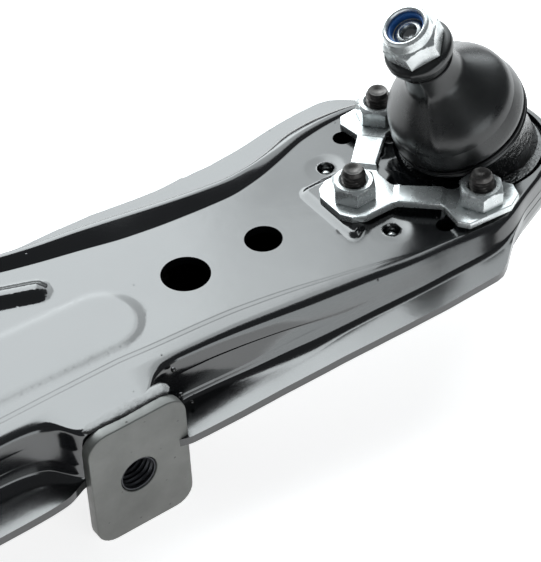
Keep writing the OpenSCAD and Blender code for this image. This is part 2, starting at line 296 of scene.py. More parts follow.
def circle(bm: BMesh, radius: float, segments: int, place: Matrix) -> list[BMEdge]:
    """Adds an open circle and returns its edges."""
    made = bmesh.ops.create_circle(bm, segments=segments, radius=radius, matrix=place, cap_ends=False)
    return list({e for v in made["verts"] for e in v.link_edges})


def region(faces: list[BMFace]) -> list:
    """Faces with their edges and vertices, as a cutting operator takes them."""
    return faces + list({e for f in faces for e in f.edges}) + list({v for f in faces for v in f.verts})


def only(kind: type, items: list) -> list:
    """The items of one kind."""
    return [item for item in items if isinstance(item, kind)]


def set_radius(vert: BMVert, radius: float) -> None:
    """Moves a vertex to a radius about Z."""
    share = radius / math.hypot(vert.co.x, vert.co.y)
    vert.co.x *= share
    vert.co.y *= share


def at(x: float, y: float, z: float = 0.0) -> Matrix:
    """A shift in millimetres."""
    return Matrix.Translation((x, y, z))


def lathe(profile: list[tuple[float, float]], steps: int = 72, closed: bool = False) -> BMesh:
    """Spins a profile of (radius, height) points round Z into a closed solid.

    Args:
        profile: The points, first and last on the axis unless closed.
        steps: Segments round the axis.
        closed: True for a ring's closed section.

    Returns:
        The solid.
    """
    bm = bmesh.new()
    edges = polyline(bm, [(r, 0.0, z) for r, z in profile], closed)
    geom = list({v for e in edges for v in e.verts}) + edges
    axis = {"cent": (0, 0, 0), "axis": (0, 0, 1), "dvec": (0, 0, 0)}
    bmesh.ops.spin(bm, geom=geom, angle=TURN, steps=steps, use_merge=True, **axis)
    bmesh.ops.remove_doubles(bm, verts=bm.verts, dist=0.001)
    bmesh.ops.recalc_face_normals(bm, faces=bm.faces)
    return bm


def ring(r_out: float, r_in: float, z0: float, z1: float, round_off: float = 0.5, steps: int = 72) -> BMesh:
    """A tube round Z with its four rims chamfered.

    Args:
        r_out: Outer radius.
        r_in: Bore radius.
        z0: Lower end.
        z1: Upper end.
        round_off: Chamfer size.
        steps: Segments round the axis.

    Returns:
        The tube.
    """
    c = round_off
    section = [
        (r_out - c, z0), (r_out - c * 0.3, z0 + c * 0.3), (r_out, z0 + c), (r_out, z1 - c),
        (r_out - c * 0.3, z1 - c * 0.3), (r_out - c, z1), (r_in + c, z1), (r_in + c * 0.3, z1 - c * 0.3),
        (r_in, z1 - c), (r_in, z0 + c), (r_in + c * 0.3, z0 + c * 0.3), (r_in + c, z0),
    ]
    return lathe(section, steps, closed=True)


def plate(outline: list, holes: list, z0: float, z1: float, bevel: float, segments: int = 2) -> BMesh:
    """A flat plate with round holes and eased rims.

    Args:
        outline: Corner points (x, y) in order.
        holes: Circles (x, y, radius).
        z0: Lower face.
        z1: Upper face.
        bevel: Width of the eased rims.
        segments: Segments of the rims.

    Returns:
        The plate.
    """
    bm = bmesh.new()
    edges = polyline(bm, [(x, y, z0) for x, y in outline], closed=True)
    for x, y, r in holes:
        edges += circle(bm, r, 40, at(x, y, z0))
    bmesh.ops.triangle_fill(bm, edges=edges, use_beauty=True, normal=(0, 0, -1))
    walls = bmesh.ops.extrude_face_region(bm, geom=list(bm.faces))
    bmesh.ops.translate(bm, verts=only(BMVert, walls["geom"]), vec=(0, 0, z1 - z0))
    bmesh.ops.recalc_face_normals(bm, faces=bm.faces)
    rims = [e for e in bm.edges if len(e.link_faces) == 2 and e.calc_face_angle(0) > 1.2
            and abs(e.verts[0].co.z - e.verts[1].co.z) < 1e-6]
    bmesh.ops.bevel(
        bm, geom=rims, offset=bevel, offset_type="OFFSET", segments=segments, profile=0.5,
        material=-1, affect="EDGES",
    )
    return bm


def cut_thread(bm: BMesh, radius: float, depth: float, pitch: float, z0: float, z1: float) -> None:
    """Cuts a helical thread into the vertices that lie on a radius between two heights.

    Args:
        bm: The solid, with several rings of vertices per pitch.
        radius: The thread's crest radius; a negative depth cuts an inner thread.
        depth: Depth of the thread.
        pitch: Height of one turn.
        z0: Where the thread begins.
        z1: Where it ends.
    """
    for vert in bm.verts:
        spread = math.hypot(vert.co.x, vert.co.y)
        if abs(spread - radius) > 0.02 or not z0 <= vert.co.z <= z1:
            continue
        phase = (vert.co.z / pitch - math.atan2(vert.co.y, vert.co.x) / TURN) % 1.0
        fade = min(1.0, (vert.co.z - z0) / pitch, (z1 - vert.co.z) / pitch * 1.5)
        cut = depth * min(1.0, abs(phase - 0.5) * 2.6) * fade
        set_radius(vert, spread - cut)


def rows(z0: float, z1: float, step: float) -> list[float]:
    """Heights from z0 to z1 in equal steps near a given size."""
    count = max(1, round(abs(z1 - z0) / step))
    return [z0 + (z1 - z0) * i / count for i in range(count + 1)]


def press_flats(bm: BMesh, flats: float, below: float = math.inf) -> None:
    """Presses a round solid about Z into a hexagon.

    Args:
        bm: The solid.
        flats: Width across the flats.
        below: Only vertices under this height move.
    """
    sixth = math.pi / 3
    for vert in bm.verts:
        spread = math.hypot(vert.co.x, vert.co.y)
        turned = (math.atan2(vert.co.y, vert.co.x) + sixth / 2) % sixth - sixth / 2
        limit = flats / 2 / math.cos(turned)
        if vert.co.z < below and spread > limit:
            set_radius(vert, limit)


def hexagon(flats: float, z0: float, z1: float, chamfer: float, bore: float) -> BMesh:
    """A hexagon nut body whose corners are turned down at its top.

    Args:
        flats: Width across the flats.
        z0: Seat height.
        z1: Top height.
        chamfer: How far the corners are turned down.
        bore: Bore radius.

    Returns:
        The nut body with its bore.
    """
    corner = flats / math.sqrt(3)
    outer = [(bore, z0), (flats / 2 * 0.96, z0)]
    outer += [(corner, z0 + 0.35)] + [(corner, z) for z in rows(z0 + 0.6, z1 - chamfer, 0.5)]
    shrink = corner - flats / 2 * 0.93
    outer += [(corner - shrink * k / 4, z1 - chamfer + chamfer * k / 4) for k in range(1, 5)]
    outer += [(bore + 0.8, z1), (bore, z1 - 0.7)]
    bm = lathe(outer, 72, closed=True)
    press_flats(bm, flats)
    return bm


def join(*parts: BMesh) -> BMesh:
    """Puts several solids into the first one and frees the rest."""
    base = parts[0]
    for part in parts[1:]:
        scratch = bpy.data.meshes.new("scratch")
        part.to_mesh(scratch)
        part.free()
        base.from_mesh(scratch)
        bpy.data.meshes.remove(scratch)
    return base


def moved(bm: BMesh, place: Matrix) -> BMesh:
    """Moves a solid and hands it back."""
    bmesh.ops.transform(bm, matrix=place, verts=bm.verts)
    return bm


def hand_over(item: Object, body: str, node: str = "") -> None:
    """Rides a piece on its body and hides the CAD node it stands for.

    Args:
        item: The piece.
        body: The CAD body it moves with.
        node: The CAD node that it replaces, if any.
    """
    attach(item, body)
    if node:
        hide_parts(node)
    LOG.info("%s rides on %s: %d faces", item.name, body, len(item.data.polygons))


def deliver(
    name: str, bm: BMesh, finish: Finish, body: str, node: str = "",
    place: Matrix | None = None, smooth: float = 40.0,
) -> None:
    """Settles a shape as a piece and hands it over.

    Args:
        name: The piece's name.
        bm: The shape in millimetres, which is freed.
        finish: The surface finish.
        body: The CAD body it moves with.
        node: The CAD node that it replaces, if any.
        place: Where the shape goes, in millimetres.
        smooth: Angle in degrees above which an edge shades sharp.
    """
    hand_over(settle(name, bm, finish, place, smooth), body, node)


# ---------------------------------------------------------------- pressed shells


class Side(Enum):
    """Which of the two pressings a shell is."""

    UPPER = 1
    LOWER = -1


@dataclass
class Station:
    """The pressing's cross-section at one place on its flat top's rim.

    Offsets run outwards from the rim and heights up from the flat top, in millimetres.
    """

    x: float
    y: float
    shoulder: float
    shoulder_z: float
    corner: float
    corner_z: float
    foot: float
    edge: float
    rib: float = 0.0
    rib_low: float = 0.4
    rib_high: float = 0.7
    fillet: float = 1.9
    crease: float = 0.0

    def channels(self) -> list[float]:
        """All the numbers in one list."""
        return list(vars(self).values())


EDGE_CHANNEL = list(Station.__dataclass_fields__).index("edge")


@dataclass
class PressedShell:
    """One of the arm's two pressings, drawn from stations round its flat top.

    Each station holds a section: flat, shoulder, corner, wall, foot and flange edge. On the
    near side the flat ends in two fine creases and the wall carries a tapering rib. The
    columns stand closer on the bridge behind the link bracket.
    """

    side: Side
    spacing: float = 2.2
    inset: float = 0.7
    opening: float = 25.0
    rib_depth: float = 0.38
    crease_depth: float = 0.09
    bridge: tuple[float, float] = (154.0, 212.0)
    bridge_detail: float = 2.4
    near: tuple = (
        (24, -13.2, 2, -0.1, 4.4, -0.9, 6, 6), (30, -15.4, 3.2, -0.12, 6, -1.2, 7, 15),
        (40, -15.4, 3.2, -0.12, 6, -1.2, 7, 21.6),
        (80, -15.4, 3.2, -0.12, 6, -1.4, 6.9, 22.2, 1, 0.3, 0.62, 5),
        (120, -15.4, 3.2, -0.12, 6, -1.5, 6.8, 22.3, 1, 0.3, 0.62, 9),
        (146, -15.4, 3.2, -0.12, 6, -1.5, 7.1, 22.2, 0.9, 0.3, 0.62, 11),
        (154, -15.4, 3.2, -0.12, 6.1, -1.3, 7.8, 22, 0.1, 0.3, 0.62, 10),
        (161, -15.4, 3.2, -0.12, 6.6, -1.0, 10.4, 21.4, 0, 0.32, 0.62, 7),
        (165.5, -15.4, 3.2, -0.12, 9, -0.85, 16, 19.4, 0, 0.4, 0.7, 3),
        (167.6, -15.4, 3.2, -0.12, 14, -0.7, 17.8, 18.4),
        (169.6, -15.4, 3.2, -0.12, 17, -0.6, 17.9, 18.2), (172, -15.4, 3.2, -0.12, 17.3, -0.6, 17.9, 18.1),
        (194, -15.6, 3.2, -0.12, 17.1, -0.6, 17.8, 18), (197.6, -15.9, 3.2, -0.12, 14, -0.7, 17.6, 18.6),
        (200.6, -16.2, 3.2, -0.12, 9.8, -0.8, 14, 20.4, 0.5, 0.36, 0.8, 4),
        (204.6, -16.6, 3.2, -0.12, 6.9, -0.9, 9.8, 21.9, 1, 0.36, 0.8, 8),
        (210, -17, 3.2, -0.12, 6.2, -0.9, 8.4, 22.2, 1, 0.36, 0.84, 9),
        (222, -17.8, 3.2, -0.12, 6.1, -0.9, 9.4, 22.6, 1, 0.36, 0.84, 8),
        (234, -18.9, 3.2, -0.12, 6.1, -0.9, 10.8, 22.4, 1, 0.38, 0.8, 6.5),
        (246, -20.7, 3.2, -0.12, 6, -0.9, 11.2, 21.8, 1, 0.42, 0.7, 5),
        (256, -22.4, 3, -0.12, 5.8, -0.9, 11.4, 21.1, 0.8, 0.48, 0.66, 3.4),
        (266, -24.6, 2.6, -0.08, 5.2, -0.9, 10, 19.8, 0.3, 0.58, 0.66, 2),
        (275, -26.4, 2.2, -0.05, 4.6, -0.9, 9.1, 18.9, 0, 0.6, 0.66),
        (284, -28.6, 1.8, -0.03, 4, -0.9, 8, 17.7, 0, 0.6, 0.66),
        (293, -30.8, 1.4, -0.03, 3.2, -0.8, 6.8, 16.2, 0, 0.6, 0.66),
        (302, -32, 1.2, -0.03, 2.6, -0.8, 6.2, 15.4, 0, 0.6, 0.66),
        (311, -33.1, 1, -0.03, 2.4, -0.8, 6, 14.7, 0, 0.6, 0.66),
        (316.8, -33.9, 1, -0.1, 2.4, -0.8, 5.6, 14.2, 0, 0.6, 0.66),
        (321, -34.2, 1, -0.1, 2.4, -0.8, 5, 9, 0, 0.6, 0.66),
        (326, -34, 0.8, -0.1, 2, -0.8, 3.6, 4.4, 0, 0.6, 0.66),
        (330, -33, 0.7, -0.1, 1.7, -0.8, 2.6, 3, 0, 0.6, 0.66),
        (335, -30.6, 0.5, -0.1, 1.4, -0.7, 1.7, 1.9),
    )
    far: tuple = (
        (334, 31.5, 0.6, 0.2, 1.6, -0.4, 2.2, 3), (328, 35.6, 0.9, 0.5, 2, -0.3, 2.8, 9),
        (320, 37, 1.4, 0.9, 4.4, -0.4, 6.2, 17.4), (308, 36.6, 1.9, 1.3, 6.4, -0.3, 9.2, 19),
        (297, 35, 2.2, 1.6, 6.8, 0.2, 10, 20.6), (288, 31.8, 2.8, 1.8, 6, 1.0, 10.4, 24),
        (277, 28.4, 3.8, 2.2, 6, 1.8, 11.6, 27.4), (265, 26.4, 4.8, 2.5, 7.2, 2.1, 13.4, 29.8),
        (252, 27.3, 5.6, 2.6, 8, 2.2, 14.2, 29.6), (238, 28.8, 6.8, 2.6, 9.2, 2.2, 15.2, 31),
        (224.4, 31.1, 7.4, 2.6, 9.8, 2.2, 15.8, 32), (211.9, 34.6, 6.4, 2.6, 8.8, 2.2, 14.8, 30.6),
        (198.9, 37.8, 5, 2.6, 7.4, 2.2, 13.6, 28.8), (186.4, 41.4, 4.2, 2.6, 6.6, 2.2, 12.8, 28.2),
        (172, 47.4, 4, 2.5, 6.4, 2, 12.2, 26.4), (157, 56, 3.8, 2, 6.2, 1.4, 11.6, 24),
        (131.5, 74, 3, 1.2, 5.4, 0.6, 10.2, 21), (109.5, 97, 2, 0.4, 4, -0.5, 9, 19.5),
        (92, 126, 1.1, -0.3, 3, -1.2, 8.5, 18.5), (80, 158, 1.1, -0.3, 3, -1.2, 8.5, 18),
        (71.5, 190, 1.1, -0.3, 3, -1.2, 8, 16), (67, 206, 1.1, -0.3, 3, -1.2, 7, 11),
    )
    inner: tuple = (
        (10.5, 205, 1.1, -0.3, 3, -1.2, 6.5, 10), (11.5, 190, 1.1, -0.3, 3, -1.2, 8, 15.5),
        (15.5, 140, 1.1, -0.3, 3, -1.2, 8.5, 15.5), (19.5, 80, 1.1, -0.3, 3, -1.2, 8.5, 16.2),
        (20, 45, 1.1, -0.3, 3, -1.2, 8.5, 12.5), (20.4, 28, 0.9, -0.3, 3.2, -1, 4, 5),
        (20.4, 18, 0.6, -0.2, 3.6, -0.6, -2, -1.6), (20.4, 0, 0.5, -0.2, 3.6, -0.6, -2.6, -2.4),
        (20.4, -12, 0.5, -0.2, 3.6, -0.6, -2, -1.6),
    )
    holes: tuple = (
        (231.7, 5.3, 7.9), (260, 3.7, 6.1), (309, 28, 3.2), (295.8, 19.3, 3), (294.2, -17.5, 3),
        (308.6, -26.4, 3), (62, 120, 16), (48, 175, 9), (75, 15, 11),
    )

    def stations(self) -> list[Station]:
        """All stations round the rim, counter-clockwise from the front bush.

        Returns:
            The stations of the near side, nose, far side, leg and both eyes.
        """
        nose = [
            Station(340 + 26.2 * math.cos(t), 26.2 * math.sin(t), 0.4, -0.2, 1.3, -0.8, 1.7, 1.8)
            for t in (math.radians(a) for a in range(-66, 67, 11))
        ]
        collar = [
            Station(35 + 37.4 * math.cos(t), 245 + 37.4 * math.sin(t), 0.3, -0.1, 0.8, -0.5, 0.9, 0.9)
            for t in (math.radians(a) for a in range(-50, -131, -16))
        ]
        near, far, inner = ([Station(*row) for row in group] for group in (self.near, self.far, self.inner))
        if self.side is Side.UPPER:
            for s in near:
                s.crease = min(1.0, max(0.0, (s.x - 26) / 12), max(0.0, (300 - s.x) / 60))
                strip = 2.8 * s.crease
                s.y += strip
                for channel in ("shoulder", "corner", "foot", "edge"):
                    setattr(s, channel, getattr(s, channel) + strip)
        loop = near + nose + far + collar + inner
        if self.side is Side.LOWER:
            for s in loop:
                s.shoulder, s.shoulder_z = 1.1, -0.3
                s.corner, s.corner_z = min(s.corner, 3.0), -1.2
                s.foot, s.rib = max(min(s.foot, 6.0), s.corner + 0.4) if s.foot > 0 else s.foot, 0.0
                s.edge = max(s.edge - 5.0, s.foot + 0.2)
        return loop

    def columns(self) -> list[Station]:
        """Spaces the stations evenly and smooths every channel round the loop.

        Returns:
            The even stations.
        """
        raw = [s.channels() for s in self.stations()]
        path = [0.0]
        for a, b in zip(raw, raw[1:] + raw[:1]):
            by_bracket = self.bridge[0] < a[0] < self.bridge[1] and -20 < a[1] < -10
            step = math.hypot(b[0] - a[0], b[1] - a[1])
            path.append(path[-1] + step * (self.bridge_detail if by_bracket else 1.0))
        count = round(path[-1] / self.spacing)
        even, k = [], 0
        for i in range(count):
            d = path[-1] * i / count
            while path[k + 1] < d:
                k += 1
            t = (d - path[k]) / (path[k + 1] - path[k])
            a, b = raw[k], raw[(k + 1) % len(raw)]
            even.append([p + (q - p) * t for p, q in zip(a, b)])
        for turn in range(3):
            even = [
                [(p + 2 * q + r) / 4 if turn == 0 or k != EDGE_CHANNEL else q
                 for k, (p, q, r) in enumerate(zip(even[i - 1], even[i], even[(i + 1) % count]))]
                for i in range(count)
            ]
        return [Station(*row) for row in even]

    def height(self, x: float, offset_z: float) -> float:
        """Height of a point of the flat's own surface, raised by offset_z."""
        if self.side is Side.UPPER:
            return TOP + offset_z
        return belly_height(x) - offset_z

    def foot_height(self, x: float, y: float) -> float:
        """Height of the flange's outer skin at a place in plan."""
        top = flange_height(x) - flange_droop(x, y)
        return top if self.side is Side.UPPER else top - 2 * SHEET

    def section(self, s: Station, normal: Vector) -> list[Vector]:
        """The rounded section at one station.

        Args:
            s: The station.
            normal: Outward direction in plan.

        Returns:
            Points from the flat out to the flange's edge.
        """
        rim = Vector((s.x, s.y, 0))

        def on_top(offset: float, z: float) -> Vector:
            """A point near the flat top."""
            p = rim + normal * offset
            p.z = self.height(p.x, z)
            return p

        def on_foot(offset: float) -> Vector:
            """A point on the flange."""
            p = rim + normal * offset
            p.z = self.foot_height(p.x, p.y)
            return p

        corner, foot = on_top(s.corner, s.corner_z), on_foot(s.foot)
        step, strip = self.crease_depth * s.crease, s.shoulder
        creases = [on_top(strip * t, s.shoulder_z * t - step * k)
                   for t, k in ((0.06, 0.9), (0.27, 1.0), (0.32, 1.7), (0.36, 1.8))]
        low_shoulder = s.shoulder_z - 1.9 * step
        rib = ((s.rib_low - 0.025, 0), (s.rib_low, 1), (s.rib_high, 0.6), (s.rib_high + 0.02, 0))
        wall = [corner.lerp(foot, v) - normal * (self.rib_depth * min(1.0, s.rib) * w) for v, w in rib]
        chain = [on_top(-self.inset, 0), on_top(0, 0), *creases, on_top(s.shoulder, low_shoulder),
                 corner, *wall, foot, on_foot(s.edge)]
        reach = [0, 0.1, 0.1, 0.1, 0.1, 0.1, 0.6, 2.4, 0.3, 0.3, 0.3, 0.3, s.fillet, 0]
        out = [chain[0]]
        for i in range(1, len(chain) - 1):
            here, before, after = chain[i], chain[i - 1], chain[i + 1]
            a = here + (before - here) * min(0.45, reach[i] / max((before - here).length, 1e-6))
            room = 0.8 if i == len(chain) - 2 else 0.5
            b = here + (after - here) * min(room, reach[i] / max((after - here).length, 1e-6))
            steps = 5 if reach[i] > 1 else 1
            for k in range(steps + 1):
                t = k / steps
                out.append(a * (1 - t) ** 2 + here * (2 * t * (1 - t)) + b * t * t)
        out.append(chain[-1])
        return out

    def relief(self, x: float, y: float) -> float:
        """Height of the pads and beads that are pressed into the flat top.

        Args:
            x: Place along the arm.
            y: Place across the arm.

        Returns:
            The extra height in millimetres.
        """

        def pad(distance: float, width: float) -> float:
            """1 inside, 0 outside, with a smooth ramp of a given width."""
            t = min(1.0, max(0.0, 0.5 - distance / width))
            return t * t * (3 - 2 * t)

        edges = ((282.2, 0, -1, 0), (287.4, -11.4, 0.5, -0.866), (288, 14.3, 0, 1), (313, 0, 1, 0))
        corner = ramp = 2.6
        outs = [max(0.0, (x - px) * nx + (y - py) * ny + corner) for px, py, nx, ny in edges]
        rise = PAD * pad(math.sqrt(sum(d * d for d in outs)) - corner, ramp)
        for cx, cy in BOLTS[1:]:
            rise = max(rise, PAD * pad(math.hypot(x - cx, y - cy) - 9.6, ramp))
        for hx, hy, _ in self.holes[3:5]:
            rise -= 0.3 * pad(math.hypot(x - hx, y - hy) - 5.0, 4.5)

        def along(p: tuple, q: tuple) -> float:
            """Distance from a straight piece."""
            a, b = Vector(p), Vector(q)
            t = min(1.0, max(0.0, (Vector((x, y)) - a).dot(b - a) / (b - a).length_squared))
            return (Vector((x, y)) - a.lerp(b, t)).length

        path = ((190.5, 27.2), (152, 42.6), (96, 84), (62, 165))
        bead = min(along(p, q) for p, q in zip(path, path[1:]))
        rise += 2.4 * pad(bead - 3.2, 5.0)
        rise += 0.45 * pad(along((199.2, 3.2), (130, 6.5)) - 12.4, 3.2)
        return rise

    def build(self, name: str) -> Object:
        """Builds the pressing.

        Args:
            name: The object's name.

        Returns:
            The finished sheet with its thickness.
        """
        cols = self.columns()
        count = len(cols)
        sections = []
        for i, s in enumerate(cols):
            before, after = cols[i - 1], cols[(i + 1) % count]
            tangent = Vector((after.x - before.x, after.y - before.y, 0)).normalized()
            sections.append(self.section(s, Vector((tangent.y, -tangent.x, 0))))
        bm = bmesh.new()
        rim = first_rim = polyline(bm, [sec[0] for sec in sections], closed=True)
        start = [e.verts[0] if e.verts[0] in rim[i - 1].verts else e.verts[1] for i, e in enumerate(rim)]
        order = {vert: i for i, vert in enumerate(start)}
        for row in range(1, len(sections[0])):
            grown = bmesh.ops.extrude_edge_only(bm, edges=rim)["geom"]
            rim = only(BMEdge, grown)
            lookup = {}
            for vert in only(BMVert, grown):
                parent = next(e.other_vert(vert) for e in vert.link_edges if e.other_vert(vert) in order)
                lookup[vert] = order[parent]
            for vert, i in lookup.items():
                vert.co = sections[i][row]
            order = lookup
        flat = self.fill_flat(bm, first_rim)
        if self.side is Side.UPPER:
            self.press_relief(bm, flat)
        bmesh.ops.recalc_face_normals(bm, faces=bm.faces)
        spot = Vector((260, -8, self.height(260, 0)))
        probe = min(bm.faces, key=lambda f: (f.calc_center_median() - spot).length)
        if probe.normal.z * self.side.value < 0:
            bmesh.ops.reverse_faces(bm, faces=bm.faces)
        item = settle(name, bm, ELECTROCOAT, smooth=60.0)
        thick = item.modifiers.new("thickness", "SOLIDIFY")
        thick.thickness, thick.offset = SHEET * MM, -1.0
        ease = item.modifiers.new("sheared_edges", "BEVEL")
        ease.width, ease.segments, ease.limit_method = 0.4 * MM, 2, "ANGLE"
        ease.angle_limit = math.radians(62)
        item.modifiers.new("even_shading", "WEIGHTED_NORMAL").keep_sharp = True
        return item

    def fill_flat(self, bm: BMesh, rim: list[BMEdge]) -> list[BMFace]:
        """Fills the flat inside its rim, leaving the holes open.

        Args:
            bm: The pressing so far.
            rim: The inner loop of its first row.

        Returns:
            The new faces.
        """
        before = set(bm.faces)
        edges = list(rim)
        through = [*self.holes[6:], *((x, y, 4.3) for x, y in BOLTS)]
        holes = [*(self.holes if self.side is Side.UPPER else ()), (BALL.x, BALL.y, self.opening)]
        if self.side is Side.LOWER:
            holes += through
        for x, y, r in holes:
            edges += circle(bm, r, 96 if r > 20 else 40, at(x, y, TOP))
        for edge in edges:
            for vert in edge.verts:
                vert.co.z = self.height(vert.co.x, 0)
        bmesh.ops.triangle_fill(bm, edges=edges, use_beauty=True, normal=(0, 0, 1))
        flat = [f for f in bm.faces if f not in before]
        cuts = [205, 255, 278] if self.side is Side.LOWER else []
        for x in cuts:
            bmesh.ops.bisect_plane(bm, geom=region(flat), dist=1e-5, plane_co=(x, 0, 0), plane_no=(1, 0, 0))
            flat = [f for f in bm.faces if f not in before]
        for vert in {v for f in flat for v in f.verts}:
            vert.co.z = self.height(vert.co.x, 0)
        return flat

    def press_relief(self, bm: BMesh, flat: list[BMFace]) -> None:
        """Cuts the flat into a fine grid and raises its pads and beads, then sinks two dimples.

        Args:
            bm: The pressing.
            flat: The faces of its flat top.
        """
        known = set(bm.faces) - set(flat)
        windows = (
            ((293.0, 0), (1, 0), (16.5, 26), 0.65), ((322.7, 27), (1, 0), (13, 12), 1.1),
            ((322.7, -27), (1, 0), (13, 12), 1.1), ((171.5, 34.8), (0.928, -0.372), (31, 8.5), 0.9),
            ((124, 63.5), (0.806, -0.592), (40, 9), 1.6), ((79, 124.5), (0.387, -0.922), (50, 9), 2.2),
            ((164, 4.5), (1, 0), (52, 15.8), 1.3),
        )
        for centre, way, half, step in windows:
            middle, u = Vector((*centre, 0)), Vector((*way, 0)).normalized()
            v = Vector((-u.y, u.x, 0))
            sides = ((u, half[0]), (v, half[1]))
            faces = [f for f in bm.faces if f not in known]
            for line, reach in sides:
                for value in (-reach, reach):
                    spot = middle + line * value
                    cut = [f for f in faces if min((q.co - spot).dot(line) for q in f.verts) < -1e-4
                           and max((q.co - spot).dot(line) for q in f.verts) > 1e-4
                           and all(min((q.co - middle).dot(w) for q in f.verts) < r
                                   and max((q.co - middle).dot(w) for q in f.verts) > -r for w, r in sides)]
                    bmesh.ops.bisect_plane(bm, geom=region(cut), dist=1e-4, plane_co=spot, plane_no=line)
                    faces = [f for f in bm.faces if f not in known]
            pane = [f for f in faces
                    if all(abs((f.calc_center_median() - middle).dot(w)) < r for w, r in sides)]
            geom = region(pane)
            for line, reach in sides:
                for value in rows(-reach, reach, step)[1:-1]:
                    spot = middle + line * value
                    made = bmesh.ops.bisect_plane(bm, geom=geom, dist=1e-4, plane_co=spot, plane_no=line)
                    geom = made["geom"]
        inner = {v for f in bm.faces if f not in known for v in f.verts}
        rim = [v for v in inner if any(f in known for f in v.link_faces)]
        tree = kdtree.KDTree(len(rim))
        for i, vert in enumerate(rim):
            tree.insert(vert.co, i)
        tree.balance()
        for vert in inner.difference(rim):
            near_rim = min(1.0, tree.find(vert.co)[2] / RIM_FADE)
            vert.co.z += self.relief(vert.co.x, vert.co.y) * near_rim * near_rim * (3 - 2 * near_rim)
        for x, y, r in self.holes[3:5]:
            lip = [e for e in bm.edges if e.is_boundary
                   and all(abs(math.hypot(v.co.x - x, v.co.y - y) - r) < 0.05 for v in e.verts)]
            for shrink, drop in ((0.93, 0.1), (0.84, 0.5), (0.74, 1.3), (0.66, 2.2), (0.62, 2.9)):
                grown = bmesh.ops.extrude_edge_only(bm, edges=lip)["geom"]
                lip = only(BMEdge, grown)
                for vert in only(BMVert, grown):
                    away = Vector((vert.co.x - x, vert.co.y - y)).normalized() * r * shrink
                    vert.co = (x + away.x, y + away.y, TOP - drop)


# ---------------------------------------------------------------- ball joint


